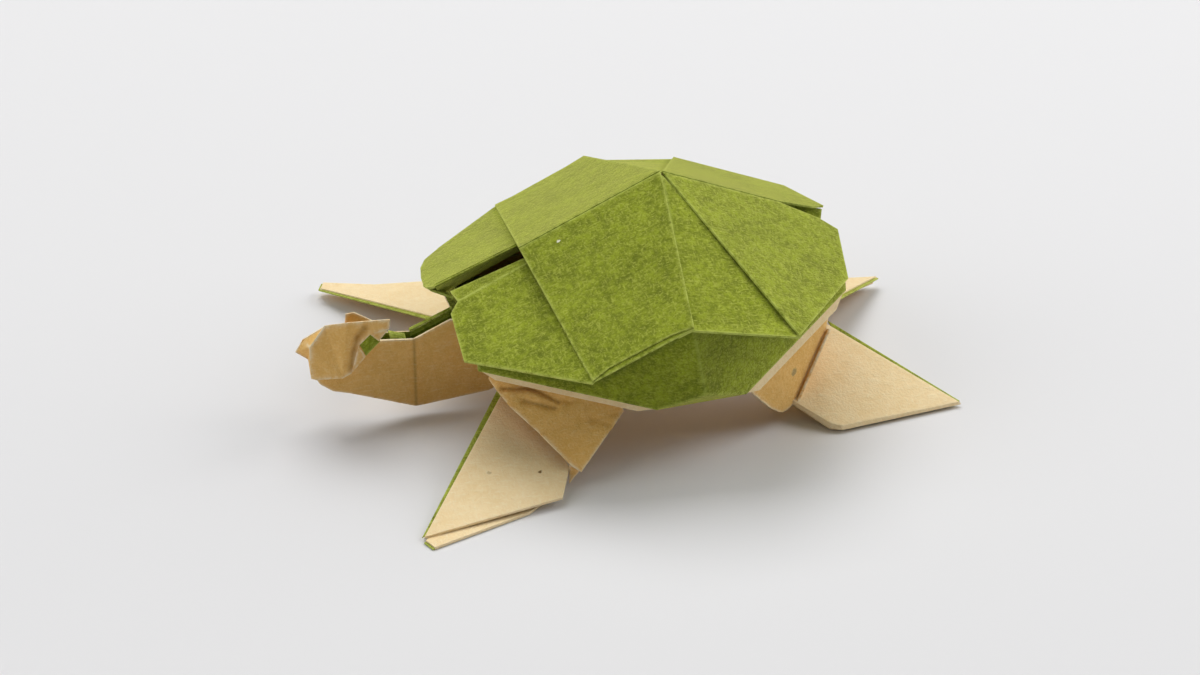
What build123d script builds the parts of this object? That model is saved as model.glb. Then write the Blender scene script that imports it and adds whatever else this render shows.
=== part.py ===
from build123d import *
import os

# An origami turtle folded from one square sheet, green on one face and kraft on the other.
# +X runs to the head, +Y to the turtle's left, and it stands on Z = 0. Sizes are in millimetres.

# Pressed layers of a sheet about 0.12 thick
SHELL = 0.5  # four layers in the shell, the belly and the neck
LEAF = 0.4  # three layers in one leaf of a flipper or in a hem


def plane_through(first, second, third):
    """The plane of three corners, facing the side from which they run counter-clockwise."""
    along = second - first
    return Plane(origin=first, x_dir=along, z_dir=along.cross(third - first))


def onto(plane, x, y, z):
    """The nearest point of a plane to a corner."""
    corner = Vector(x, y, z)
    return corner - plane.z_dir * (corner - plane.origin).dot(plane.z_dir)


def above(plane, x, y):
    """The point of a plane straight above or below a place on the floor."""
    base = Vector(x, y, 0)
    return base + Vector(0, 0, (plane.origin - base).dot(plane.z_dir) / plane.z_dir.Z)


def pressed(plane, corners, layers):
    """Pressed layers whose seen face has these corners and whose other face lies behind it."""
    flat = [plane.to_local_coords(corner) for corner in corners]
    outline = Polyline(*[(corner.X, corner.Y) for corner in flat], close=True)
    return extrude(plane * make_face(outline), amount=-layers)


def facet(*corners, layers=SHELL):
    """A folded facet given by its corners, counter-clockwise from its seen side."""
    return pressed(plane_through(*corners[:3]), corners, layers)


def other_side(corner):
    return Vector(corner.X, -corner.Y, corner.Z)


# Shell cap: a square scute in front, a triangle beside it and a tail scute lapped over the triangle
apex = Vector(-5.7, 0, 33.5)
spine_front = Vector(14.3, 0, 24.2)
spine_rear = Vector(-23.3, 0, 26.6)
front_corner = Vector(11.2, 26.4, 17.6)
rear_corner = Vector(-16.7, 28, 21.3)
lap = Vector(0, 0, -SHELL)

square_plane = plane_through(apex, spine_front, front_corner)
side_corner = above(square_plane, -2.4, 26.6)
square_corners = [apex, spine_front, front_corner, side_corner]

triangle_plane = plane_through(apex, side_corner, rear_corner + lap)
triangle_corners = [apex, side_corner, rear_corner + lap, above(triangle_plane, -19, 22)]

tail_plane = plane_through(apex, rear_corner, spine_rear)
tail_corner = above(tail_plane, -29, 13.4)
slit_end = above(tail_plane, -28.9, 1.5)
tail_corners = [apex, rear_corner, tail_corner, above(tail_plane, -31.1, 3), slit_end, spine_rear]

half_cap = [
    pressed(square_plane, square_corners, SHELL),
    pressed(triangle_plane, triangle_corners, SHELL),
    pressed(tail_plane, tail_corners, SHELL),
]

# Front flaps, tucked back under the squares. The left one dips, runs under the right one's edge and turns up
# inside against the squares. The right one is rounded at the front, where its edge is rolled under.
left_plane = plane_through(Vector(25, 4.5, 17.8), Vector(25.4, 13.8, 15.6), front_corner + lap * 0.5)
left_ridge = [above(left_plane, 8, 0.2), above(left_plane, 23.6, 2.8)]
left_tuck = above(left_plane, 7, 22)
left_corners = [
    above(left_plane, 25, 4.5),
    above(left_plane, 25.4, 13.8),
    front_corner + lap * 0.5,
    left_tuck,
    *left_ridge,
]
left_lap = [Vector(8, -3, 24.2), Vector(24.1, -3, 18.1)]
tuck_start = [corner + Vector(0.3, 0, -0.3) for corner in (left_tuck, left_ridge[0], left_lap[0])]
tuck_end = [above(square_plane, 5, 22) + lap, above(square_plane, 5.5, 0) + lap]
tuck_end.append(other_side(above(square_plane, 5.5, 3)) + lap)
right_plane = plane_through(Vector(14.3, 0, 23.8), Vector(25.4, -13.8, 15.75), Vector(25.9, 0, 19.6))
right_rim = [above(right_plane, 24.2, -16), above(right_plane, 26, -11), above(right_plane, 27, -4)]
right_corners = [
    above(right_plane, 26, -0.6),
    above(right_plane, 8, -0.6),
    above(right_plane, 7, -22),
    above(right_plane, 11.2, -26.4),
    above(right_plane, 21.6, -18.4),
    *right_rim,
]
roll = Vector(-1, 0.2, -1.5)
front_flaps = [
    pressed(left_plane, left_corners, SHELL),
    facet(left_ridge[0], left_lap[0], left_lap[1], left_ridge[1]),
    facet(tuck_start[0], tuck_end[0], tuck_end[1], tuck_start[1]),
    facet(tuck_start[1], tuck_end[1], tuck_end[2], tuck_start[2]),
    pressed(right_plane, right_corners, SHELL),
    facet(right_rim[1], right_rim[0], right_rim[0] + roll, right_rim[1] + roll),
    facet(right_rim[2], right_rim[1], right_rim[1] + roll, right_rim[2] + roll),
]

# Skirt under the cap: two walls that meet at an upright ridge, closed across the front and the tail.
# A layer under the slit between the tail scutes closes it from below.
ridge_top = Vector(-2.9, 25, 22.9)
ridge_low = Vector(-5, 25, 12.1)
front_hem = Vector(23.1, 12.2, 12.8)
tail_hem = Vector(-30, 10.4, 16.5)
front_wall = plane_through(front_hem, ridge_low, ridge_top)
rear_wall = plane_through(ridge_low, tail_hem, ridge_top)
front_foot = onto(front_wall, 0.9, 22, 9)
rear_foot = onto(rear_wall, -12, 21.4, 9.2)
tall_ridge = ridge_top + Vector(0.5, 0, 2.7)
tall_front = onto(front_wall, 22.6, 12.4, 19)
tall_tail = onto(rear_wall, -29.4, 10.8, 24)
neck_side = Vector(20.8, 1.4, 12.4)
tall_neck = neck_side + Vector(0, 0, 8)
half_skirt = [
    pressed(front_wall, [front_hem, front_foot, ridge_low, tall_ridge, tall_front], SHELL),
    pressed(rear_wall, [ridge_low, rear_foot, tail_hem, tall_tail, tall_ridge], SHELL),
    facet(neck_side, front_hem, tall_front, tall_neck),
    facet(front_foot, rear_foot, ridge_low),
]
tail_wall = facet(tail_hem, other_side(tail_hem), other_side(tall_tail), tall_tail)
slit_floor = [Vector(-22.5, 2.5, 25), Vector(-30.3, 4.5, 21.5)]
below_slit = facet(slit_floor[0], slit_floor[1], other_side(slit_floor[1]), other_side(slit_floor[0]))


def space_below(corners):
    """All that lies under a cap facet, starting half-way through its layers."""
    outline = Polyline(*[corner + lap * 0.5 for corner in corners], close=True)
    return extrude(make_face(outline), amount=apex.Z, dir=(0, 0, -1))


half_space = [
    space_below(square_corners),
    space_below(triangle_corners),
    space_below(tail_corners),
]
below_cap = Part() + half_space + [mirror(space, about=Plane.XZ) for space in half_space]
below_cap += [space_below(left_corners), space_below(right_corners)]
skirt = Part() + half_skirt + [mirror(wall, about=Plane.XZ) for wall in half_skirt] + tail_wall
skirt &= below_cap

# Kraft hems that show below the skirt, and the belly, set a little up inside them
HEM_FRONT = 1.1
HEM_REAR = 1.7
HEM_INSIDE = 3.0  # how far a hem runs up behind the skirt
HEM_TAPER = 2.5
HEM_SETBACK = 0.3  # less than the skirt's layers, so that each hem stays joined to its wall


def hem(plane, start, end, shows):
    """A hem behind one wall of the skirt, tapered at both ends."""
    along = (end - start).normalized()
    down = along.cross(plane.z_dir)
    taper = along * HEM_TAPER
    run = [start, start + taper + down * shows, end - taper + down * shows, end]
    run += [end - taper - down * HEM_INSIDE, start + taper - down * HEM_INSIDE]
    moved = [corner - plane.z_dir * HEM_SETBACK for corner in run]
    return pressed(Plane(origin=moved[0], x_dir=along, z_dir=plane.z_dir), moved, LEAF)


BELLY_UP = Vector(0, -0.3, 0.7)
belly_folds = [corner + BELLY_UP for corner in (front_hem, front_foot, rear_foot, tail_hem)]
belly = [
    facet(ahead, other_side(ahead), other_side(behind), behind)
    for ahead, behind in zip(belly_folds, belly_folds[1:])
]
half_hems = [
    hem(front_wall, front_hem, front_foot, HEM_FRONT),
    hem(rear_wall, rear_foot, tail_hem, HEM_REAR),
]

# Front limb: a shoulder hanging inside the front hem, an inner fold and a low flipper of two leaves
shoulder_front = Vector(21.2, 10.2, 10.2)
shoulder_low = Vector(12.5, 24.3, 1.6)
shoulder_rear = Vector(4.7, 19.3, 7.8)
shoulder_plane = plane_through(shoulder_front, shoulder_low, shoulder_rear)
shoulder_corners = [
    shoulder_front,
    onto(shoulder_plane, 19.2, 14, 7.8),
    onto(shoulder_plane, 16, 18.1, 5.5),
    shoulder_low,
    shoulder_rear,
    onto(shoulder_plane, 5.4, 16.6, 12.2),
    onto(shoulder_plane, 19.3, 7.6, 14.6),
]
front_tip = Vector(35.1, 31.7, 0.75)
front_heel = Vector(15.6, 28.2, 1.4)
front_top = Vector(18.2, 6.4, 5.7)
front_plane = plane_through(front_tip, front_heel, front_top)
front_inner = above(front_plane, 15.8, 7.3)
front_upper = [front_tip, front_heel, above(front_plane, 12.6, 23.4), front_inner, front_top]
under_tip = Vector(33.8, 31, 0.42)
under_heel = Vector(17.6, 27, 0.42)
under_plane = plane_through(under_tip, under_heel, Vector(18.8, 8, 5.1))
front_under = [under_tip, under_heel, above(under_plane, 13.6, 22.6), above(under_plane, 18.8, 8)]
front_rest = [(34.9, 32.1), (34.2, 33.8), (17.4, 28.6), (17.8, 26.4), (33.4, 30.4)]

# Rear limb: a leg hanging inside the rear hem, an inner fold and a low flipper of two leaves
LEG_SETBACK = 0.9
leg_plane = rear_wall.offset(-LEG_SETBACK)
leg_fold_low = onto(leg_plane, -22, 15.4, 2.8)
leg_fold_top = onto(leg_plane, -27.8, 11.2, 11.4)
leg_corners = [
    onto(leg_plane, -14.1, 19.3, 7.8),
    onto(leg_plane, -17.8, 17.7, 3.6),
    onto(leg_plane, -19, 17.1, 2.6),
    onto(leg_plane, -19.8, 16.7, 2.2),
    onto(leg_plane, -20.5, 16.3, 2.1),
    onto(leg_plane, -21.3, 15.8, 2.3),
    leg_fold_low,
    leg_fold_top,
    onto(leg_plane, -28.4, 10.4, 16),
    onto(leg_plane, -14.5, 18.7, 11),
]
rear_tip = Vector(-45.3, 17.8, 0.6)
rear_heel = Vector(-26.7, 20.3, 0.75)
rear_top = Vector(-30.7, 1.6, 6.9)
rear_plane = plane_through(rear_tip, rear_top, rear_heel)
rear_inner = above(rear_plane, -29.2, 2.2)
rear_upper = [
    rear_top,
    rear_inner,
    above(rear_plane, -20.6, 14.2),
    above(rear_plane, -25.2, 19.7),
    rear_heel,
    rear_tip,
]
rear_under = [Vector(-31.3, 3.2, 6.1), Vector(-26.2, 19, 0.42), Vector(-44.6, 17, 0.42)]
rear_rest = [(-45.5, 17.9), (-44.4, 16.6), (-26, 18.6), (-26.5, 20.2)]


def flipper(upper, under, rest):
    """Two leaves and the flat edge on which the lower one stands."""
    edge = extrude(make_face(Polyline(*rest, close=True)), amount=LEAF)
    return [facet(*upper, layers=LEAF), facet(*under, layers=LEAF), edge]


half_limbs = [
    pressed(shoulder_plane, shoulder_corners, LEAF),
    facet(shoulder_low, shoulder_front, front_inner, layers=LEAF),
    *flipper(front_upper, front_under, front_rest),
    pressed(leg_plane, leg_corners, LEAF),
    facet(leg_fold_top, leg_fold_low, rear_inner, layers=LEAF),
    *flipper(rear_upper, rear_under, rear_rest),
]

# Neck: a trough folded along its lower edge and creased half-way
jaw = Vector(38.4, 0, 4.9)
neck_low = Vector(29.2, 0, 1.8)
neck_root = Vector(18.5, 0, 2.4)
neck_rim = Vector(29.5, 1.25, 12.65)
rear_neck = plane_through(neck_low, neck_root, neck_rim)
front_neck = plane_through(jaw, neck_low, neck_rim)
rear_neck_corners = [
    neck_low,
    neck_root,
    onto(rear_neck, 9, 1.4, 10.3),
    onto(rear_neck, 12, 1.2, 14.1),
    onto(rear_neck, 24.4, 1.3, 15),
    neck_rim,
]
front_neck_corners = [
    jaw,
    neck_low,
    neck_rim,
    onto(front_neck, 35.3, 1.2, 13.2),
    onto(front_neck, 42.6, 0.7, 11),
    onto(front_neck, 43.4, 0.3, 8.4),
]

# Pleat that bridges the trough behind the head
pleat_low = Vector(30.4, 1.3, 12.3)
pleat_high = Vector(32.6, 1.3, 12.7)
pleat = facet(pleat_high, other_side(pleat_high), other_side(pleat_low), pleat_low, layers=LEAF)

# Head: a hood over the end of the neck, its rear edges turned out as eye pockets, and a beak between
hood_low = Vector(44.1, 1.9, 8.8)
cheek = Vector(38.6, 3.2, 9.7)
hood_rear = Vector(33, 2.2, 16.6)
hood = plane_through(hood_low, cheek, hood_rear)
eye_low = onto(hood, 37.6, 2.1, 13.3)
eye_top = onto(hood, 35.7, 2, 15.1)
hood_corners = [
    hood_low,
    cheek,
    eye_low,
    eye_top,
    hood_rear,
    onto(hood, 41.6, -0.1, 15.9),
    onto(hood, 44.1, 0.1, 13.5),
]
half_head = [
    pressed(rear_neck, rear_neck_corners, SHELL),
    pressed(front_neck, front_neck_corners, SHELL),
    pressed(hood, hood_corners, LEAF),
    facet(eye_top, Vector(34.6, 1.6, 13.4), hood_rear, layers=LEAF),
    facet(cheek, Vector(36.6, 1.4, 12), eye_low, layers=LEAF),
]
beak_edge = [(41.6, 15.6), (38.4, 9), (39.2, 5.8), (42.6, 8.2), (44.1, 11), (45.5, 12.4), (44.7, 14.2)]
beak_outline = Polyline(*beak_edge, close=True)
beak = extrude(Plane.XZ * make_face(beak_outline), amount=LEAF / 2, both=True)

# The whole sheet
half = half_cap + half_hems + half_limbs + half_head
whole = half + [mirror(piece, about=Plane.XZ) for piece in half] + front_flaps + belly
whole += [beak, pleat, skirt, below_slit]
turtle = Part() + whole

os.makedirs("parts", exist_ok=True)
export_step(turtle, "parts/origami_turtle.step")
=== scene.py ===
import math
import bmesh
import bpy
from mathutils import Matrix, Vector
from mathutils.geometry import intersect_point_line


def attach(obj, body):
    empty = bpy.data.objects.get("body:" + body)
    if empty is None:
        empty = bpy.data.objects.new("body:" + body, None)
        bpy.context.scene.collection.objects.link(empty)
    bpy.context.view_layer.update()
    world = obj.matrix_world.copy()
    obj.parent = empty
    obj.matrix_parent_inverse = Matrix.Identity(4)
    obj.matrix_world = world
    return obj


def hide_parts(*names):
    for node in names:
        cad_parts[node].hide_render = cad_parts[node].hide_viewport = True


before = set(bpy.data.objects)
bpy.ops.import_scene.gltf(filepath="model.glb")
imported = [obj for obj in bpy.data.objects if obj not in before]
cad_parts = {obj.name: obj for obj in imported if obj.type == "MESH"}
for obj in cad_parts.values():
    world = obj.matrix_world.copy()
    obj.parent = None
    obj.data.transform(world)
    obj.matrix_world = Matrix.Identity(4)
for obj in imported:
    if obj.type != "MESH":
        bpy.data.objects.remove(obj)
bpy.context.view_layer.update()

# Square scutes: the two front scutes of the shell, one each side of the spine.
# They are squares of the sheet with the green face out, pressed in two packs of layers.
# Their rims are folds, worn paler than the face, and the upper pack stops short of the lower rim.
MM = 0.001
SIDES = {"left": 1, "right": -1}
SHELL = 0.32
PLY = 0.24

GREEN = (0.30, 0.37, 0.02)
GREEN_DEEP = (0.115, 0.15, 0.004)
GREEN_FIBRE = (0.50, 0.55, 0.09)
GREEN_WORN = (0.47, 0.54, 0.11)
GREEN_CREASE_SHADE = (0.06, 0.09, 0.01)
GREEN_NAP = (1.0, 1.0, 0.28)
GREEN_NAP_WEIGHT = 1.0
PALE_FLECK = (0.85, 0.84, 0.70)

CLOUD_SCALE = 190.0
PATCH_SCALE = 900.0
TOOTH_SCALE = 2800.0
LONG_FIBRE = 700.0
CROSS_FIBRE = 760.0
FIBRE_FINENESS = 3800.0
MOTTLE_RANGE = (0.38, 0.62)
FIBRE_RANGE = (0.53, 0.68)
TOOTH_RANGE = (0.33, 0.67)
RUBBED_RANGE = (0.3, 0.55)
CLOUD_SHARE = 0.45
FIBRE_SHARE = 0.6
PIT_LEVEL = 0.55
PIT_SHADE = 0.6
CREASE_SHADE = 0.5
WORN_FADE = 4.0
PAPER_ROUGHNESS = (0.97, 0.84)
GRAIN_HEIGHT = 0.07
MOTTLE_HEIGHT = 1.5
FLECK_RAGGED = 0.1
FLECK_CORE = 0.6


def paper(name, face, deep, fibre, worn, painted_shade, nap, nap_weight, flecks):
    """Long-fibred craft paper: a mottled face, fibres, a fine tooth and nap, worn folds, painted shade along
    given lines and a few flecks.
    """
    material = bpy.data.materials.new(name)
    material.use_nodes = True
    nodes = material.node_tree.nodes
    links = material.node_tree.links
    shader = nodes["Principled BSDF"]
    shader.inputs["Specular IOR Level"].default_value = 0.15
    shader.inputs["Sheen Weight"].default_value = nap_weight
    shader.inputs["Sheen Roughness"].default_value = 0.45
    shader.inputs["Sheen Tint"].default_value = (*nap, 1)
    where = nodes.new("ShaderNodeTexCoord")

    def noise(scale, detail, stretch=None, turn=0.0):
        texture = nodes.new("ShaderNodeTexNoise")
        texture.inputs["Scale"].default_value = scale
        texture.inputs["Detail"].default_value = detail
        texture.inputs["Roughness"].default_value = 0.6
        if stretch is None:
            links.new(where.outputs["Object"], texture.inputs["Vector"])
        else:
            mapping = nodes.new("ShaderNodeMapping")
            mapping.inputs["Scale"].default_value = stretch
            mapping.inputs["Rotation"].default_value = (turn, 0.4 * turn, turn)
            links.new(where.outputs["Object"], mapping.inputs["Vector"])
            links.new(mapping.outputs["Vector"], texture.inputs["Vector"])
        return texture.outputs["Fac"]

    def spread(value, low, high, to_low=0.0, to_high=1.0):
        ramp = nodes.new("ShaderNodeMapRange")
        links.new(value, ramp.inputs["Value"])
        ramp.inputs["From Min"].default_value = low
        ramp.inputs["From Max"].default_value = high
        ramp.inputs["To Min"].default_value = to_low
        ramp.inputs["To Max"].default_value = to_high
        return ramp.outputs["Result"]

    def sums(kind, first, second):
        node = nodes.new("ShaderNodeMath")
        node.operation = kind
        for socket, value in zip(node.inputs, (first, second)):
            if isinstance(value, float):
                socket.default_value = value
            else:
                links.new(value, socket)
        return node.outputs["Value"]

    def colour_mix(factor, first, second):
        node = nodes.new("ShaderNodeMix")
        node.data_type = "RGBA"
        links.new(factor, node.inputs["Factor"])
        for socket, value in zip((node.inputs[6], node.inputs[7]), (first, second)):
            if isinstance(value, tuple):
                socket.default_value = (*value, 1.0)
            else:
                links.new(value, socket)
        return node.outputs[2]

    def edge_band(attribute):
        node = nodes.new("ShaderNodeAttribute")
        node.attribute_name = attribute
        return node.outputs["Fac"]

    def near(place, radius):
        node = nodes.new("ShaderNodeVectorMath")
        node.operation = "DISTANCE"
        links.new(where.outputs["Object"], node.inputs[0])
        node.inputs[1].default_value = Vector(place) * MM
        ragged = spread(tooth, 0.0, 1.0, -FLECK_RAGGED * MM, FLECK_RAGGED * MM)
        gap = sums("ADD", node.outputs["Value"], ragged)
        return spread(gap, FLECK_CORE * radius * MM, radius * MM, 1.0, 0.0)

    cloudy = spread(noise(CLOUD_SCALE, 4.0), *MOTTLE_RANGE)
    patchy = spread(noise(PATCH_SCALE, 3.0), *MOTTLE_RANGE)
    mottle = sums("ADD", sums("MULTIPLY", cloudy, CLOUD_SHARE), sums("MULTIPLY", patchy, 1 - CLOUD_SHARE))
    lengthwise = (LONG_FIBRE, FIBRE_FINENESS, FIBRE_FINENESS)
    crosswise = (FIBRE_FINENESS, CROSS_FIBRE, FIBRE_FINENESS)
    long_fibres = spread(noise(1.0, 3.0, stretch=lengthwise, turn=0.5), *FIBRE_RANGE)
    cross_fibres = spread(noise(1.0, 3.0, stretch=crosswise, turn=-0.35), *FIBRE_RANGE)
    fibres = sums("MAXIMUM", long_fibres, cross_fibres)
    tooth = spread(noise(TOOTH_SCALE, 3.0), *TOOTH_RANGE)
    rubbing = spread(noise(PATCH_SCALE, 3.0), *RUBBED_RANGE)
    rubbed = sums("MULTIPLY", sums("POWER", edge_band("worn"), WORN_FADE), rubbing)

    colour = colour_mix(mottle, deep, face)
    colour = colour_mix(sums("MULTIPLY", fibres, FIBRE_SHARE), colour, fibre)
    colour = colour_mix(spread(tooth, 0.0, PIT_LEVEL, PIT_SHADE, 0.0), colour, deep)
    colour = colour_mix(rubbed, colour, worn)
    # Painted shade along the lines that press was given.
    colour = colour_mix(sums("MULTIPLY", edge_band("painted_shade"), CREASE_SHADE), colour, painted_shade)
    for place, radius, shade in flecks:
        colour = colour_mix(near(place, radius), colour, shade)
    links.new(colour, shader.inputs["Base Color"])
    links.new(spread(tooth, 0.0, 1.0, *PAPER_ROUGHNESS), shader.inputs["Roughness"])

    bump = nodes.new("ShaderNodeBump")
    bump.inputs["Strength"].default_value = 0.55
    bump.inputs["Distance"].default_value = GRAIN_HEIGHT * MM
    grain = sums("ADD", sums("MULTIPLY", fibres, FIBRE_SHARE), tooth)
    links.new(sums("ADD", grain, sums("MULTIPLY", mottle, MOTTLE_HEIGHT)), bump.inputs["Height"])
    links.new(bump.outputs["Normal"], shader.inputs["Normal"])
    return material


green_flecks = [((9.3, 2.4, 25.8), 0.3, PALE_FLECK)]
green_paper = paper(
    "green paper", GREEN, GREEN_DEEP, GREEN_FIBRE, GREEN_WORN, GREEN_CREASE_SHADE, GREEN_NAP, GREEN_NAP_WEIGHT,
    green_flecks,
)

MERGE_GAP = 0.02
FOLD_ANGLE = 25


def folded(name, side, *facets):
    """A sheet folded from flat facets. Each is a filled ring pulled to its fold points, seen face out."""
    pieces = []
    for corners in facets:
        points = [Vector((x, y * side, z)) * MM for x, y, z in corners]
        if side < 0:
            points.reverse()
        bpy.ops.object.select_all(action="DESELECT")
        bpy.ops.mesh.primitive_circle_add(vertices=len(points), radius=MM, fill_type="NGON")
        piece = bpy.context.object
        for vertex, point in zip(piece.data.vertices, points):
            vertex.co = point
        pieces.append(piece)
    bpy.ops.object.select_all(action="DESELECT")
    for piece in pieces:
        piece.select_set(True)
    bpy.context.view_layer.objects.active = pieces[0]
    if len(pieces) > 1:
        bpy.ops.object.join()
    sheet = pieces[0]
    sheet.name = name
    bpy.ops.object.mode_set(mode="EDIT")
    bpy.ops.mesh.select_all(action="SELECT")
    bpy.ops.mesh.remove_doubles(threshold=MERGE_GAP * MM)
    bpy.ops.object.mode_set(mode="OBJECT")
    return sheet


def gap_to(lines, point):
    """The distance from a point to the nearest of some straight lines between two ends."""
    gaps = []
    for start, end in lines:
        near, along = intersect_point_line(point, start, end)
        if along < 0:
            near = start
        if along > 1:
            near = end
        gaps.append((point - near).length)
    return min(gaps)


def rims_and_folds(mesh):
    """The free edges of a folded sheet, and its folds, each as two ends. Gentle bends are left out."""
    sheet = bmesh.new()
    sheet.from_mesh(mesh)
    rims = []
    folds = []
    for edge in sheet.edges:
        line = tuple(vertex.co.copy() for vertex in edge.verts)
        if edge.is_boundary:
            rims.append(line)
        elif math.degrees(edge.calc_face_angle()) > FOLD_ANGLE:
            folds.append(line)
    sheet.free()
    return rims, folds


RIM = 0.16
RIM_SHARE = 0.38
RIM_ANGLE = 55
SMOOTH_ANGLE = 40
GRID = 0.8
FEWEST_CUTS = 5
MOST_CUTS = 40
SLACK_REACH = 4.5
WORN_BAND = 0.8
SHADE_BAND = 0.35
slack_clouds = bpy.data.textures.new("paper slack", "CLOUDS")
slack_clouds.noise_scale = 9 * MM
crumple_clouds = bpy.data.textures.new("paper crumple", "CLOUDS")
crumple_clouds.noise_scale = 3 * MM


def loosen(sheet, name, strength, texture=None):
    """Moves the slack parts of a sheet in and out of its plane, or only out where there is no texture."""
    ease = sheet.modifiers.new(name, "DISPLACE")
    ease.strength = strength * MM
    ease.vertex_group = "slack"
    ease.mid_level = 0.0
    if texture is not None:
        ease.texture = texture
        ease.texture_coords = "LOCAL"
        ease.mid_level = 0.5


def press(
    sheet, seen, behind, layers=SHELL, slack=0.35, puff=0.0, crumple=0.0, soften=0.3, grid_step=GRID,
    wear=WORN_BAND, ridges=(), painted_shade_lines=(), shade_band=SHADE_BAND, wrinkles=(),
):
    """Grids a folded sheet, softens its folds, paints shade along lines on it and presses wrinkles into it,
    slackens its faces, and gives it its layers and rims. A shade line has two ends, a wrinkle two ends, a
    depth and a width."""
    mesh = sheet.data
    rims, folds = rims_and_folds(mesh)
    longest = max((end - start).length for start, end in rims)
    bpy.ops.object.mode_set(mode="EDIT")
    bpy.ops.mesh.select_mode(type="VERT")
    bpy.ops.mesh.select_all(action="SELECT")
    bpy.ops.mesh.quads_convert_to_tris(quad_method="BEAUTY", ngon_method="BEAUTY")
    cuts = round(longest / (grid_step * MM))
    bpy.ops.mesh.subdivide(number_cuts=max(FEWEST_CUTS, min(MOST_CUTS, cuts)))
    if folds:
        bpy.ops.mesh.select_all(action="DESELECT")
        grid = bmesh.from_edit_mesh(mesh)
        for vertex in grid.verts:
            vertex.select = not vertex.is_boundary and gap_to(folds, vertex.co) < soften * MM
        grid.select_flush_mode()
        bmesh.update_edit_mesh(mesh)
        bpy.ops.mesh.vertices_smooth(factor=0.5, repeat=3)
    bpy.ops.object.mode_set(mode="OBJECT")
    bpy.context.view_layer.update()

    def on_sheet(place):
        found, spot, facing, facet = sheet.closest_point_on_mesh(Vector(place) * MM)
        return spot

    shade_spans = [(on_sheet(start), on_sheet(end)) for start, end in painted_shade_lines]
    wrinkle_lines = [[(on_sheet(start), on_sheet(end))] for start, end, depth, width in wrinkles]
    # Painted shade: a dark band along each given line, fading out over the band's width.
    marks = []
    if painted_shade_lines:
        shade_gaps = [gap_to(shade_spans, vertex.co) / MM for vertex in mesh.vertices]
        marks = [max(0.0, 1 - gap / shade_band) for gap in shade_gaps]
    normals = [vertex.normal.copy() for vertex in mesh.vertices]
    for line, (start, end, depth, width) in zip(wrinkle_lines, wrinkles):
        for vertex, normal in zip(mesh.vertices, normals):
            gap = gap_to(line, vertex.co) / (width * MM)
            vertex.co -= depth * MM * math.exp(-gap * gap) * normal

    ridges = [tuple(Vector(end) * MM for end in line) for line in ridges]
    gaps = [gap_to(rims + folds + ridges, vertex.co) / MM for vertex in mesh.vertices]
    loose = sheet.vertex_groups.new(name="slack")
    for index, gap in enumerate(gaps):
        loose.add([index], min(1.0, gap / SLACK_REACH), "REPLACE")
    worn = mesh.attributes.new("worn", "FLOAT", "POINT")
    worn.data.foreach_set("value", [max(0.0, 1 - gap / wear) for gap in gaps])
    if marks:
        painted_shade = mesh.attributes.new("painted_shade", "FLOAT", "POINT")
        painted_shade.data.foreach_set("value", marks)

    for name, strength, texture in (
        ("slack", slack, slack_clouds), ("puff", puff, None), ("crumple", crumple, crumple_clouds),
    ):
        if strength:
            loosen(sheet, name, strength, texture)
    thick = sheet.modifiers.new("layers", "SOLIDIFY")
    thick.thickness = layers * MM
    thick.offset = -1
    thick.use_even_offset = False
    thick.material_offset = 1
    thick.material_offset_rim = 0
    rim = sheet.modifiers.new("rims", "BEVEL")
    rim.width = min(RIM, RIM_SHARE * layers) * MM
    rim.segments = 2
    rim.limit_method = "ANGLE"
    rim.angle_limit = math.radians(RIM_ANGLE)
    mesh.materials.append(seen)
    mesh.materials.append(behind)
    bpy.ops.object.select_all(action="DESELECT")
    sheet.select_set(True)
    bpy.context.view_layer.objects.active = sheet
    for modifier in list(sheet.modifiers):
        bpy.ops.object.modifier_apply(modifier=modifier.name)
    bpy.ops.object.shade_smooth_by_angle(angle=math.radians(SMOOTH_ANGLE))
    return sheet


def hand_over(sheet):
    """Sets a finished sheet on the turtle's one body, in place of its solid."""
    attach(sheet, "root")
    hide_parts("origami_turtle")


square = [
    (-5.7, 0.14, 33.5), (14.3, 0.14, 24.2), (11.2, 26.4, 17.6),
    (8.8, 25.8, 18.9), (0.6, 26.0, 22.65), (-2.4, 26.6, 23.86),
]
square_below = [(-5.7, -0.25, 33.2), (14.2, -0.25, 23.9), (11.2, 26.4, 17.33), (-2.4, 26.6, 23.58)]
for side_name, side in SIDES.items():
    scute = folded(f"square_scute_{side_name}", side, square)
    hand_over(press(scute, green_paper, green_paper, PLY))
    below = folded(f"square_scute_below_{side_name}", side, square_below)
    hand_over(press(below, green_paper, green_paper, PLY))

# Triangles and tail scutes: behind each square the sheet dips into a triangle, green face out.
# The tail scute laps over that triangle, and a slit parts the two tail scutes at the rear of the spine.
# The right one stands a little proud there, and a layer of the same sheet lies below the slit.
triangle_top = (-5.9, 0.4, 33)
triangle_side = (-2.2, 26.4, 23.2)
triangle = [triangle_top, triangle_side, (-16.8, 27.9, 20.95), (-17.8, 24.5, 21.6)]
triangle_lap = [triangle_top, (-3.9, 0.4, 31.9), (-0.4, 26.2, 22.3), triangle_side]
tail_lift = {"left": (0, 0, 0), "right": (1.4, 0.8, 0.4)}
for side_name, side in SIDES.items():
    dip = press(folded(f"triangle_{side_name}", side, triangle, triangle_lap), green_paper, green_paper)
    hand_over(dip)
    far_lift, end_lift, slit_lift = tail_lift[side_name]
    tail_scute = [
        (-6.1, 0.2, 33.35), (-16.7, 28, 21.3), (-29, 13.4, 20.6 + far_lift),
        (-31.2, 3, 22.7 + end_lift), (-28.9, 1.5, 24.0 + slit_lift), (-23.3, 0.2, 26.6),
    ]
    scute = press(folded(f"tail_scute_{side_name}", side, tail_scute), green_paper, green_paper)
    hand_over(scute)

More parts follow.
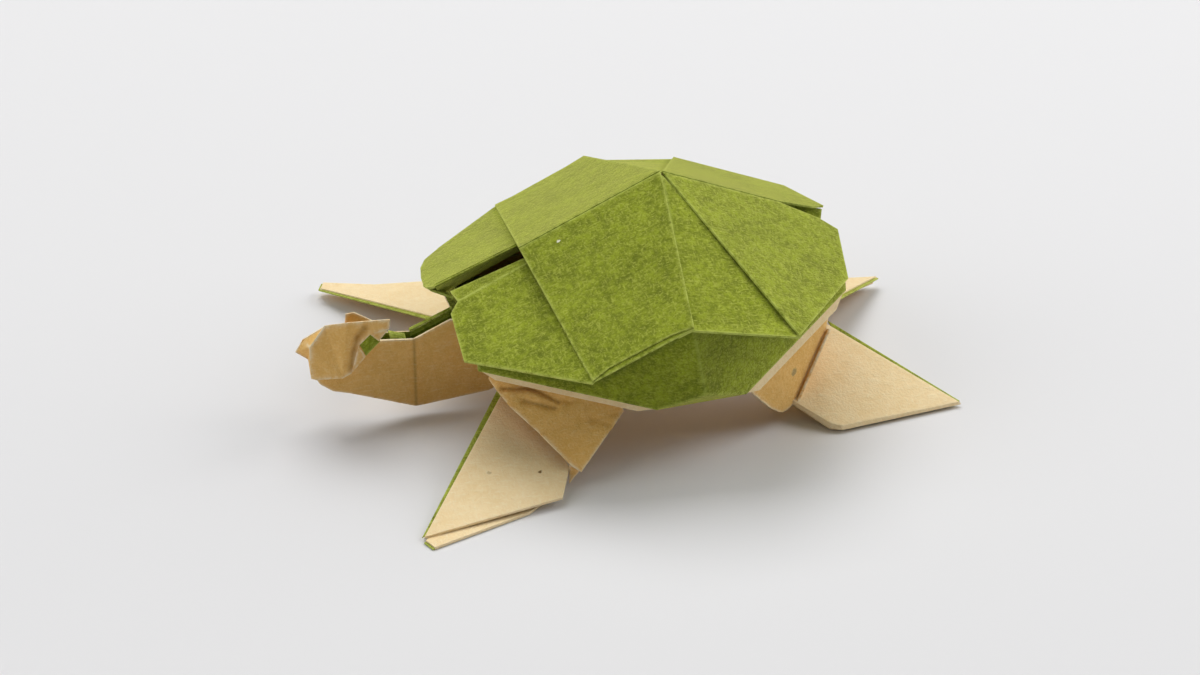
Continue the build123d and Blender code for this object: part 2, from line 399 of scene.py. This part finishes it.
slit_fold = [(-22.5, -0.5, 24.6), (-30.3, -1.5, 21)]
slit_floor = [(-22.5, 2.5, 25), (-30.3, 4.5, 21.5), slit_fold[1], slit_fold[0]]
slit_wall = [slit_fold[0], slit_fold[1], (-31, -3, 23), (-23.3, -0.9, 26.1)]
layer = folded("layer_below_slit", 1, slit_floor, slit_wall)
hand_over(press(layer, green_paper, green_paper, PLY))

# Front flaps: tucked back under the squares, green face out. The left one has a narrow strip along its top,
# drops inside below the right one's edge, and turns up against the squares.
# The right one is rounded at the front, where its edge is rolled under. Its spine edge is turned under too.
left_top = [(8, 0.2, 24.2), (23.6, 2.8, 18.63)]
left_dip = [(8, -0.2, 24.4), (24.05, 0.1, 18.8)]
left_drop = [(8, -1.2, 21.8), (22.3, -1, 16.4)]
left_side = (7, 22, 19.7)
tuck_spine = (5.5, 0, 27.5)
left_flap = [(25, 4.5, 17.8), (25.4, 13.8, 15.6), (11.2, 26.4, 17.2), left_side, *left_top]
left_strip = [left_top[0], left_dip[0], left_dip[1], left_top[1]]
left_inner = [left_dip[0], left_drop[0], left_drop[1], left_dip[1]]
left_tuck = [left_side, (5, 22, 21.2), tuck_spine, left_top[0]]
left_tuck_end = [left_top[0], tuck_spine, (5.5, -3, 26.6), (8, -3, 23.9)]
flap = folded("front_flap_left", 1, left_flap, left_strip, left_inner, left_tuck, left_tuck_end)
hand_over(press(flap, green_paper, green_paper, soften=0.7, ridges=[left_top]))


def above(plane_corners, x, y):
    """The point of the plane of three corners that is straight above a place on the table."""
    first, second, third = (Vector(corner) for corner in plane_corners)
    square_on = (second - first).cross(third - first)
    return (x, y, first.z - (square_on.x * (x - first.x) + square_on.y * (y - first.y)) / square_on.z)


right_face = [(14.3, 0, 23.8), (25.4, -13.8, 15.75), (25.9, 0, 19.6)]
rim_front = [(21.6, -18.4), (24.2, -15.8), (25.6, -12.4), (26.5, -8), (27, -4)]
rim_front = [above(right_face, x, y) for x, y in rim_front]
rim_under = [
    (20.6, -17.2, 14.3), (22.6, -14.6, 13.9), (23.9, -11.6, 14.4), (24.5, -7.6, 15.4), (23.4, -1, 16.9),
]
rim_sides = [(26.8, -2), (26, -1), (14.3, -2.6), (8, -3.4), (7, -22), (11.2, -26.5), (16.5, -22.4)]
rim_sides = [above(right_face, x, y) for x, y in rim_sides]
right_rolls = [
    [rim_front[i + 1], rim_front[i], rim_under[i], rim_under[i + 1]] for i in range(len(rim_front) - 1)
]
roll_end = (26, -3, 17.4)
right_rolls[-1].append(roll_end)
right_return = [
    rim_sides[1], (24.4, -4.4, 15.9), (14.3, -6.2, 19.5), (8, -7.2, 21.6), rim_sides[3], rim_sides[2],
]
flap = folded("front_flap_right", 1, [*rim_front, *rim_sides], right_return, *right_rolls)
hand_over(press(flap, green_paper, green_paper, soften=0.9))

# Skirt: two walls each side that hang below the cap and meet at an upright fold, kraft behind the green.
# Short walls close it across the front, beside the neck, and across the tail.
# A dark line along the walls stands for the deep shade under the rim of the cap.
# This kraft is painted darker and more orange than the paper itself: painted shade for the kraft parts that
# face away from the lamp behind.
SHADED_KRAFT = (0.90, 0.56, 0.185)
KRAFT_DEEP = (0.80, 0.465, 0.125)
KRAFT_FIBRE = (0.94, 0.67, 0.30)
KRAFT_WORN = (0.95, 0.80, 0.54)
KRAFT_CREASE_SHADE = (0.30, 0.14, 0.03)
KRAFT_NAP = (1.0, 0.9, 0.7)
KRAFT_NAP_WEIGHT = 0.2
GREY_FLECK = (0.45, 0.32, 0.13)
kraft_flecks = [((-21.4, 14.8, 7.5), 0.7, GREY_FLECK)]
shaded_kraft_paper = paper(
    "kraft paper painted in shade", SHADED_KRAFT, KRAFT_DEEP, KRAFT_FIBRE, KRAFT_WORN, KRAFT_CREASE_SHADE, KRAFT_NAP, KRAFT_NAP_WEIGHT,
    kraft_flecks,
)

front_hem = (23.1, 12.2, 12.8)
front_top_edge = (22.8, 12.3, 16)
front_foot = (0.9, 22.0, 9.0)
ridge_low = (-5, 25, 12.1)
ridge_top = (-2.75, 25, 23.6)
rear_foot = (-12, 21.4, 9.2)
tail_hem = (-30, 10.4, 17)
front_wall = [front_hem, front_foot, ridge_low, ridge_top, (11, 18.3, 19), front_top_edge]
rear_wall = [ridge_low, rear_foot, tail_hem, (-29.6, 10.2, 20), (-16.5, 17.2, 23.3), ridge_top]
foot_gusset = [front_foot, rear_foot, ridge_low]
neck_wall = [(20.8, 1.4, 12.4), front_hem, front_top_edge, (22, 1.8, 16.8)]
shade_line = [(22.9, 12.4, 13.7), (8.9, 18.6, 12.4), (-2.75, 24.8, 22.2), (-19.7, 16.5, 14.2)]


def on_side(side, corners):
    """Corners given for the left side, as they lie on that side or on the right one."""
    return [(x, y * side, z) for x, y, z in corners]


for side_name, side in SIDES.items():
    skirt = folded(f"skirt_{side_name}", side, front_wall, rear_wall, foot_gusset, neck_wall)
    shaded = on_side(side, shade_line)
    shaded = list(zip(shaded, shaded[1:]))
    skirt = press(skirt, green_paper, shaded_kraft_paper, soften=0.12, painted_shade_lines=shaded, shade_band=0.9)
    hand_over(skirt)
tail_wall = [
    tail_hem, (-30, -10.4, 17), (-28.6, -12.2, 21.4), (-29.5, -10.2, 22.1), (-29.5, -4, 23.3),
    (-29.5, -1.5, 21.3), (-29.5, 2, 21.3), (-29.5, 4.5, 22.4), (-29.5, 10.2, 20.9),
]
hand_over(press(folded("tail_wall", 1, tail_wall), green_paper, shaded_kraft_paper))

# Hems and belly: the kraft face of the sheet, turned out below the skirt as narrow hems.
# Between the hems three flat facets close the shell from below.
# A lighter copy of the same kraft, painted as the paper looks in full light, for the flippers, their under
# leaves and the hems.
LIT_KRAFT = (0.94, 0.76, 0.46)
LIT_KRAFT_DEEP = (0.88, 0.67, 0.36)
LIT_KRAFT_FIBRE = (0.95, 0.82, 0.56)
LIT_KRAFT_WORN = (0.94, 0.77, 0.48)
DARK_FLECK = (0.22, 0.12, 0.04)
PALE_GREY_FLECK = (0.66, 0.50, 0.27)
flipper_flecks = [((17.3, 22.9, 2.45), 0.3, DARK_FLECK), ((24.05, 21.8, 2.7), 0.35, PALE_GREY_FLECK)]
lit_kraft_paper = paper(
    "kraft paper painted lit", LIT_KRAFT, LIT_KRAFT_DEEP, LIT_KRAFT_FIBRE, LIT_KRAFT_WORN, KRAFT_CREASE_SHADE, KRAFT_NAP,
    KRAFT_NAP_WEIGHT, flipper_flecks,
)

LEAF = 0.4
HEM_UP_INSIDE = 3.0
HEM_TAPER = 2.5
HEM_SETBACK = 0.3
FRONT_HEM_SHOWS = 1.1
REAR_HEM_SHOWS = 1.7


def hem(start, end, out, shows):
    """The corners of a hem that shows below one wall of the skirt, just inside it, tapered at both ends."""
    start, end, out = Vector(start), Vector(end), Vector(out)
    along = (end - start).normalized()
    down = along.cross(out).normalized()
    start -= HEM_SETBACK * out
    end -= HEM_SETBACK * out
    taper = HEM_TAPER * along
    return [
        start, start + taper + shows * down, end - taper + shows * down, end,
        end - taper - HEM_UP_INSIDE * down, start + taper - HEM_UP_INSIDE * down,
    ]


front_out = (0.415, 0.907, -0.081)
rear_out = (-0.49, 0.867, 0.095)
for side_name, side in SIDES.items():
    for end_name, corners in {
        "front": hem(front_hem, front_foot, front_out, FRONT_HEM_SHOWS),
        "rear": hem(rear_foot, tail_hem, rear_out, REAR_HEM_SHOWS),
    }.items():
        strip = folded(f"hem_{end_name}_{side_name}", side, corners)
        hand_over(press(strip, lit_kraft_paper, shaded_kraft_paper, LEAF))

BELLY_IN = 0.3
BELLY_UP = 0.7


def other_side(corner):
    return (corner[0], -corner[1], corner[2])


def side_to_side(ahead, behind):
    """A facet across the turtle, between two corners of its left side and the same two of its right."""
    return [ahead, other_side(ahead), other_side(behind), behind]


skirt_corners = [front_hem, front_foot, rear_foot, tail_hem]
belly_folds = [(x, y - BELLY_IN, z + BELLY_UP) for x, y, z in skirt_corners]
belly_facets = [side_to_side(ahead, behind) for ahead, behind in zip(belly_folds, belly_folds[1:])]
belly = press(folded("belly", 1, *belly_facets), shaded_kraft_paper, green_paper)
hand_over(belly)

# Front limbs: a crumpled shoulder hangs inside each front hem and an inner fold joins it to a low flipper.
# The flipper is two kraft leaves that part at its rear edge, and the green face shows along its front edge.
# The left one stands on the table, and the right one is splayed wider and held just clear of it.
FINE_GRID = 0.4
SHADED_FURROWS = 4
LINING_INSIDE = 2.5
LINING_BELOW = 0.2
LINING_TAPER = 0.12
LINING_END_SHARE = 0.4
TIP_PLY = 0.18
UNDER_TOP = 0.42


def lining(leaf, start, end, start_shows, end_shows):
    """The corners of the green ply that shows beyond one edge of a flipper, just under its upper leaf."""
    first, second, third = (Vector(corner) for corner in leaf[:3])
    out = (second - first).cross(third - first).normalized()
    start = Vector(start) - LINING_BELOW * out
    end = Vector(end) - LINING_BELOW * out
    aside = (end - start).cross(out).normalized()
    inward = LINING_TAPER * (end - start)
    return [
        start + start_shows * aside, end + end_shows * aside,
        end - inward - LINING_END_SHARE * LINING_INSIDE * aside, start + inward - LINING_INSIDE * aside,
    ]


def moved(corners, way):
    return [Vector(corner) + Vector(way) for corner in corners]


front_splay = {"left": (0, 0, 0), "right": (0.8, 4.5, 1.2)}
shoulder_front = (21.2, 10.2, 10.2)
shoulder_low = (13.05, 23.8, 3.2)
shoulder = [
    shoulder_front, (20.55, 12.4, 9.4), (19.45, 14.8, 8.3), (16.3, 18.95, 5.95), shoulder_low,
    (11.95, 24.4, 2.5), (4.7, 19.3, 7.8), (5.4, 16.6, 12.2), (19.3, 7.6, 14.6),
]
shoulder_toe = [(13.2, 22.8, 2.9), (13.6, 24.2, 0.75), (11.7, 23.3, 2.2)]
shoulder_wrinkles = [
    ((19.4, 12.2, 9.4), (16.1, 13.2, 9.4), 0.55, 0.35),
    ((16.1, 13.2, 9.4), (14.4, 14.4, 8.9), 0.5, 0.35),
    ((14.4, 14.4, 8.9), (12.7, 15.9, 8.2), 0.55, 0.4),
    ((17.2, 14.4, 8.4), (13.4, 16.4, 7.7), 0.45, 0.45),
    ((13.4, 15, 8.7), (11.2, 16.4, 8.2), 0.35, 0.35),
    ((9, 18.8, 7.1), (6.6, 20.3, 6.6), 0.2, 0.5),
]
front_tip = (35.1, 31.7, 0.75)
front_heel = (15.6, 28.2, 1.4)
front_top = (18.2, 6.4, 5.7)
front_face = [front_tip, front_heel, front_top]
front_inner = above(front_face, 15.8, 7.3)
front_fold = [(11.2, 21.6, 3.2), (18.6, 8.8, 10.3), front_inner]
front_upper = [front_tip, front_heel, above(front_face, 13.2, 22.8), front_inner, front_top]
# Painted shade on each flipper: a wide dark band along the shoulder's front edge, where the shoulder
# overhangs it.
front_crevice_shade = [(19.1, 6.5, 5.7), (12.7, 21.3, 2.75)]
under_tip = (33.4, 30.4, UNDER_TOP)
under_heel = (18, 27.2, UNDER_TOP)
front_under = [under_tip, under_heel, (13.6, 22.6, 1.25), (18.4, 7.4, 5.1)]
front_rest = [(35, 32, UNDER_TOP), (34.2, 33.9, UNDER_TOP), (20.4, 29.1, UNDER_TOP), under_heel, under_tip]
for side_name, side in SIDES.items():
    hang = folded(f"shoulder_{side_name}", side, shoulder)
    wrinkles = [
        (*on_side(side, (start, end)), depth, width) for start, end, depth, width in shoulder_wrinkles
    ]
    # Shade is painted along the first few wrinkles, in their furrows.
    shaded_furrows = [(start, end) for start, end, depth, width in wrinkles[:SHADED_FURROWS]]
    hang = press(
        hang, shaded_kraft_paper, shaded_kraft_paper, LEAF, crumple=0.4, grid_step=FINE_GRID, painted_shade_lines=shaded_furrows,
        wrinkles=wrinkles,
    )
    hand_over(hang)
    toe = folded(f"shoulder_toe_{side_name}", side, shoulder_toe)
    hand_over(press(toe, shaded_kraft_paper, shaded_kraft_paper, PLY))
    inner = folded(f"shoulder_fold_{side_name}", side, front_fold)
    hand_over(press(inner, shaded_kraft_paper, shaded_kraft_paper, LEAF))
    splay = front_splay[side_name]
    upper = folded(f"front_flipper_{side_name}", side, moved(front_upper, splay))
    crevice_shade = on_side(side, moved(front_crevice_shade, splay))
    upper = press(upper, lit_kraft_paper, lit_kraft_paper, LEAF, painted_shade_lines=[crevice_shade], shade_band=2.4)
    hand_over(upper)
    under_facets = [moved(facet, splay) for facet in (front_under, front_rest)]
    under = folded(f"front_flipper_under_{side_name}", side, *under_facets)
    hand_over(press(under, lit_kraft_paper, shaded_kraft_paper, LEAF, slack=0.0))
    edge = lining(front_upper, front_top, front_tip, 0.9, 0.3)
    edge = folded(f"front_lining_{side_name}", side, moved(edge, splay))
    hand_over(press(edge, green_paper, green_paper, PLY, slack=0.1))
    end = lining(front_rest, front_rest[0], front_rest[1], 0.35, 0.3)
    end = folded(f"front_tip_lining_{side_name}", side, moved(end, splay))
    hand_over(press(end, green_paper, green_paper, TIP_PLY, slack=0.0))

# Rear limbs: a rounded leg hangs inside each rear hem and an inner fold joins it to a low flipper.
# The flipper's upper leaf is rolled down at its lower edge, and the green face shows along its rear edge.
# The right one is splayed a little wider and held just clear of the table.
LEG_SETBACK = 0.8
rear_splay = {"left": (0, 0, 0), "right": (-1.5, 1.2, 0.9)}
leg_fold_low = (-22, 15.4, 2.8)
leg_fold_top = (-27.8, 11.2, 11.4)
leg = [
    (-14.1, 19.3, 7.8), (-16.3, 18.3, 5.2), (-17.8, 17.7, 3.6), (-19, 17.1, 2.6), (-19.8, 16.7, 2.15),
    (-20.5, 16.3, 2.1), (-21.3, 15.85, 2.3), leg_fold_low, leg_fold_top, (-28.4, 10.7, 16),
    (-14.5, 18.7, 11),
]
leg = [Vector(corner) - LEG_SETBACK * Vector(rear_out) for corner in leg]
rear_tip = (-45.2, 17.7, 0.85)
rear_heel = (-26.7, 20, 1.15)
rear_top = (-30.7, 1.6, 6.93)
rear_face = [rear_tip, rear_top, rear_heel]
rear_inner = above(rear_face, -29.2, 2.2)
rear_fold = [leg_fold_top, leg_fold_low, rear_inner]
rear_edge = [above(rear_face, -20.6, 14.2), above(rear_face, -25.3, 19.4), rear_heel, rear_tip]
rear_edge_out = [(-20.7, 14.3, 2.8), (-25.4, 19.7, 0.7), (-26.85, 20.3, 0.55), (-45.5, 17.85, 0.45)]
rear_edge_under = [(-20.9, 13.6, 2.3), (-25.4, 19, 0.12), (-26.9, 19.6, 0.12), (-44.9, 17.4, 0.12)]
rear_upper = [rear_top, rear_inner, *rear_edge]
rear_rolls = [
    [high[i + 1], high[i], low[i], low[i + 1]]
    for high, low in ((rear_edge, rear_edge_out), (rear_edge_out, rear_edge_under))
    for i in range(len(rear_edge) - 1)
]
rear_under = [(-31.3, 3.2, 6.1), (-26.2, 19, UNDER_TOP), (-44.6, 17, UNDER_TOP)]
for side_name, side in SIDES.items():
    hang = folded(f"leg_{side_name}", side, leg)
    hand_over(press(hang, shaded_kraft_paper, shaded_kraft_paper, LEAF, puff=0.3))
    inner = folded(f"leg_fold_{side_name}", side, rear_fold)
    hand_over(press(inner, shaded_kraft_paper, shaded_kraft_paper, LEAF))
    splay = rear_splay[side_name]
    upper_facets = [moved(facet, splay) for facet in (rear_upper, *rear_rolls)]
    upper = folded(f"rear_flipper_{side_name}", side, *upper_facets)
    hand_over(press(upper, lit_kraft_paper, shaded_kraft_paper, PLY, soften=0.8))
    under = folded(f"rear_flipper_under_{side_name}", side, moved(rear_under, splay))
    hand_over(press(under, shaded_kraft_paper, shaded_kraft_paper, LEAF, slack=0.0))
    edge = lining(rear_upper, rear_tip, rear_top, 0.45, 0.9)
    edge = folded(f"rear_lining_{side_name}", side, moved(edge, splay))
    hand_over(press(edge, green_paper, green_paper, PLY, slack=0.1))

# Neck: a trough folded along its lower edge and creased half-way, kraft outside and green inside.
# A small rolled pleat of the green face lies in the trough behind the head.
# The right rim of the trough is rolled over, with the green face out.
NECK_LAYERS = 0.28
chin = (42.6, 0.35, 6.9)
jaw_front = (40.8, 0.3, 5.5)
jaw = (38.4, 0.3, 4.8)
neck_low = (29.2, 0.3, 1.35)
neck_root = (18.5, 0.3, 2.4)
neck_rim = (29.5, 1.25, 12.65)
neck_inner = (9, 0.9, 10.3)
rear_neck = [neck_low, neck_root, neck_inner, (12, 1.2, 14.1), (24.4, 1.3, 15), neck_rim]
front_neck = [
    jaw, neck_low, neck_rim, (35.3, 1.2, 13.2), (42.6, 0.7, 11), (43.4, 0.4, 8.4), chin, jaw_front,
]


def mirrored(facet):
    """A facet of the left side as it lies on the right, still seen face out."""
    return [other_side(corner) for corner in reversed(facet)]


neck_facets = [rear_neck, front_neck, mirrored(rear_neck), mirrored(front_neck)]
neck_bottom = [chin, jaw_front, jaw, neck_low, neck_root, neck_inner]
neck_facets += [side_to_side(ahead, behind) for ahead, behind in zip(neck_bottom, neck_bottom[1:])]
# Painted shade along the neck's two creases.
neck_crease_shade = [(neck_low, neck_rim), (other_side(neck_low), other_side(neck_rim))]
neck = folded("neck", 1, *neck_facets)
neck = press(neck, shaded_kraft_paper, green_paper, NECK_LAYERS, grid_step=FINE_GRID, painted_shade_lines=neck_crease_shade)
hand_over(neck)

rim_rear = (23.6, 15.3)
rim_ahead = (29.6, 12.75)
rim_roll = [(-1.75, -0.1), (-1.5, 0.25), (-1.05, 0.1), (-0.85, -0.8)]
rim_facets = []
for (y, rise), (next_y, next_rise) in zip(rim_roll, rim_roll[1:]):
    ahead = [(rim_ahead[0], y, rim_ahead[1] + rise), (rim_ahead[0], next_y, rim_ahead[1] + next_rise)]
    behind = [(rim_rear[0], next_y, rim_rear[1] + next_rise), (rim_rear[0], y, rim_rear[1] + rise)]
    rim_facets.append(ahead + behind)
roll = press(folded("neck_rim_roll", 1, *rim_facets), green_paper, green_paper, PLY, slack=0.0, soften=0.5)
hand_over(roll)

PLEAT_STEPS = 6
PLEAT_RADIUS = 0.85
PLEAT_RISE = 0.8
PLEAT_HEIGHT = 12.9
PLEAT_FRONT = 32.7
PLEAT_REAR = 30.5
pleat_turns = [math.pi * (1 - step / PLEAT_STEPS) for step in range(PLEAT_STEPS + 1)]
pleat_arch = [
    (PLEAT_RADIUS * math.cos(turn), PLEAT_HEIGHT + PLEAT_RADIUS * math.sin(turn)) for turn in pleat_turns
]
pleat = []
for (y, z), (next_y, next_z) in zip(pleat_arch, pleat_arch[1:]):
    ahead = [(PLEAT_FRONT, y, z), (PLEAT_FRONT, next_y, next_z)]
    behind = [(PLEAT_REAR, next_y, next_z - PLEAT_RISE), (PLEAT_REAR, y, z - PLEAT_RISE)]
    pleat.append(ahead + behind)
hand_over(press(folded("neck_pleat", 1, *pleat), green_paper, green_paper, PLY))

# Head: a hood folded over the end of the neck, closed in front by a small snout, all kraft face out.
# Its rear edges are turned out as eye pockets, with lips worn pale and the green face inside.
# The right half is set forward of the left one, and a small flap stands up at its eye.
hood_top = (41.7, 0.5, 16.1)
hood_rear = (32.95, 2.2, 16.75)
hood_rear_low = (33.05, 2.1, 15.3)
cheek = (38.6, 3.2, 9.7)
eye_low = (37.4, 2.6, 13.5)
eye_top = (35.8, 2.5, 14.95)
lip_rear = (34.55, 2.15, 13.5)
lip_low = (36.45, 2.35, 11.5)
hood_front = [(44.0, 1.2, 13.4), (44.05, 1.8, 8.85), (43.4, 2.1, 8.7)]
hood_bulge = [(38.8, 2, 16.95), (39.95, 3.4, 9.2)]
hood_left = [hood_top, *hood_front, hood_bulge[1], hood_bulge[0]]
hood_left_rear = [hood_bulge[0], hood_bulge[1], cheek, eye_low, eye_top, hood_rear_low, hood_rear]
upper_lip = [eye_top, lip_rear, hood_rear_low]
# The valley is pressed into the hood, and shade is painted along it.
hood_valley = [
    ((36.4, 2.3, 15.9), (37.5, 2.4, 14.7), 0.35, 0.5),
    ((37.5, 2.4, 14.7), (38.2, 2.65, 12.7), 0.35, 0.5),
    ((38.2, 2.65, 12.7), (38.7, 3.05, 10.4), 0.3, 0.5),
]
eye = [(37.4, 2.35, 13.7), (36.4, 2.15, 11.5), (34.3, 2.05, 13.5), (35.8, 2.3, 15.1)]
snout_right = [(44.5, 1, 13.6), (45.6, 1, 11.8), (43.9, 1, 10.4)]
hood_top_right = (41.5, 0.5, 15.5)
eye_low_right = (37.5, 2.5, 12.6)
eye_rear_right = [(35.6, 2.4, 13.9), (33.4, 1.8, 14.1)]
hood_right = [hood_top_right, *snout_right, (43.4, 2.1, 8.9), cheek, eye_low_right, *eye_rear_right]
eye_right = [(37.3, 2.2, 12.8), (36.3, 1.7, 11.3), (34.6, 1.6, 12.4), (35.7, 2.1, 13.6)]
head_sheets = {
    "left": (
        [hood_left, hood_left_rear], hood_valley,
        {"upper": upper_lip, "lower": [cheek, lip_low, eye_low]}, eye,
    ),
    "right": ([hood_right], (), {"lower": [cheek, lip_low, eye_low_right]}, eye_right),
}
for side_name, (hood, valley, lips, inside) in head_sheets.items():
    side = SIDES[side_name]
    sheet = folded(f"hood_{side_name}", side, *hood)
    # The wide pale band along the hood's rims is partly wear and partly a painted highlight.
    sheet = press(
        sheet, shaded_kraft_paper, shaded_kraft_paper, PLY, slack=0.1, soften=1.2, grid_step=FINE_GRID, wear=1.3,
        painted_shade_lines=[(start, end) for start, end, depth, width in valley], shade_band=0.8, wrinkles=valley,
    )
    hand_over(sheet)
    for lip_name, corners in lips.items():
        lip = folded(f"{lip_name}_lip_{side_name}", side, corners)
        hand_over(press(lip, shaded_kraft_paper, shaded_kraft_paper, PLY, slack=0.0, wear=1.2))
    pocket = folded(f"eye_{side_name}", side, inside)
    hand_over(press(pocket, green_paper, green_paper, PLY, slack=0.0))
eye_flap_right = [(38.5, 2, 14.4), (34.1, 1.2, 14.7), (37.1, 2, 16.3), (38.3, 2, 16.2)]
flap = folded("eye_flap_right", -1, eye_flap_right)
hand_over(press(flap, shaded_kraft_paper, shaded_kraft_paper, PLY, slack=0.1))
snout_far = [other_side(corner) for corner in snout_right]
brow = [other_side(hood_top_right), snout_far[0], hood_front[0], hood_top]
muzzle = [hood_front[1], hood_front[0], *snout_far]
hand_over(press(folded("snout", 1, brow, muzzle), shaded_kraft_paper, shaded_kraft_paper, PLY, slack=0.0))

# Table, light and camera: a pale table, one soft lamp high behind the turtle and one low at each end of it.
# The room itself is dim, and looks pale only where the camera sees past the table.
TABLE = (0.75, 0.75, 0.76)
TABLE_DROP = 0.05
bpy.ops.object.select_all(action="DESELECT")
bpy.ops.mesh.primitive_plane_add(size=4, location=(0, 0, -TABLE_DROP * MM))
floor = bpy.context.object
floor.name = "table"
table_top = bpy.data.materials.new("pale table")
table_top.use_nodes = True
table_shader = table_top.node_tree.nodes["Principled BSDF"]
table_shader.inputs["Base Color"].default_value = (*TABLE, 1)
table_shader.inputs["Roughness"].default_value = 0.9
table_shader.inputs["Specular IOR Level"].default_value = 0.1
floor.data.materials.append(table_top)

ROOM = (1.0, 0.97, 0.93)
ROOM_LIGHT = 0.15
ROOM_SEEN = 0.85
room = bpy.data.worlds.new("pale room")
bpy.context.scene.world = room
room.use_nodes = True
room_nodes = room.node_tree.nodes
ray = room_nodes.new("ShaderNodeLightPath")
seen = room_nodes.new("ShaderNodeMapRange")
seen.inputs["To Min"].default_value = ROOM_LIGHT
seen.inputs["To Max"].default_value = ROOM_SEEN
room.node_tree.links.new(ray.outputs["Is Camera Ray"], seen.inputs["Value"])
room.node_tree.links.new(seen.outputs["Result"], room_nodes["Background"].inputs["Strength"])
room_nodes["Background"].inputs["Color"].default_value = (*ROOM, 1)

LAMP_AWAY = 1.2
LAMP_SIZE = 0.9
lamps = {
    "lamp behind": ((0, -0.45, 0.893), 10.1),
    "lamp at the head": ((0.82, 0, 0.574), 3.9),
    "lamp at the tail": ((-0.82, 0, 0.574), 7.8),
}
for lamp_name, (way, watts) in lamps.items():
    way = Vector(way).normalized()
    bpy.ops.object.light_add(type="AREA", location=way * LAMP_AWAY)
    lamp = bpy.context.object
    lamp.name = lamp_name
    lamp.data.shape = "SQUARE"
    lamp.data.size = LAMP_SIZE
    lamp.data.energy = watts
    lamp.rotation_euler = way.to_track_quat("Z", "Y").to_euler()

CAMERA_AWAY = 375.8
CAMERA_TURN = math.radians(16.35)
CAMERA_RISE = math.radians(29.47)
CAMERA_ROLL = math.radians(0.83)
camera_aim = Vector((2.52, 0, 8.39))
bpy.ops.object.camera_add()
camera = bpy.context.object
camera.data.lens = 80
camera.data.sensor_width = 36
camera.data.clip_start = 0.01
camera_turned = Matrix.Rotation(math.pi - CAMERA_TURN, 4, "Z")
camera_turned @= Matrix.Rotation(math.pi / 2 - CAMERA_RISE, 4, "X")
camera_turned @= Matrix.Rotation(CAMERA_ROLL, 4, "Z")
camera_place = camera_aim + CAMERA_AWAY * camera_turned.col[2].xyz
camera.matrix_world = Matrix.Translation(camera_place * MM) @ camera_turned
bpy.context.scene.camera = camera
bpy.context.scene.view_settings.view_transform = "Standard"
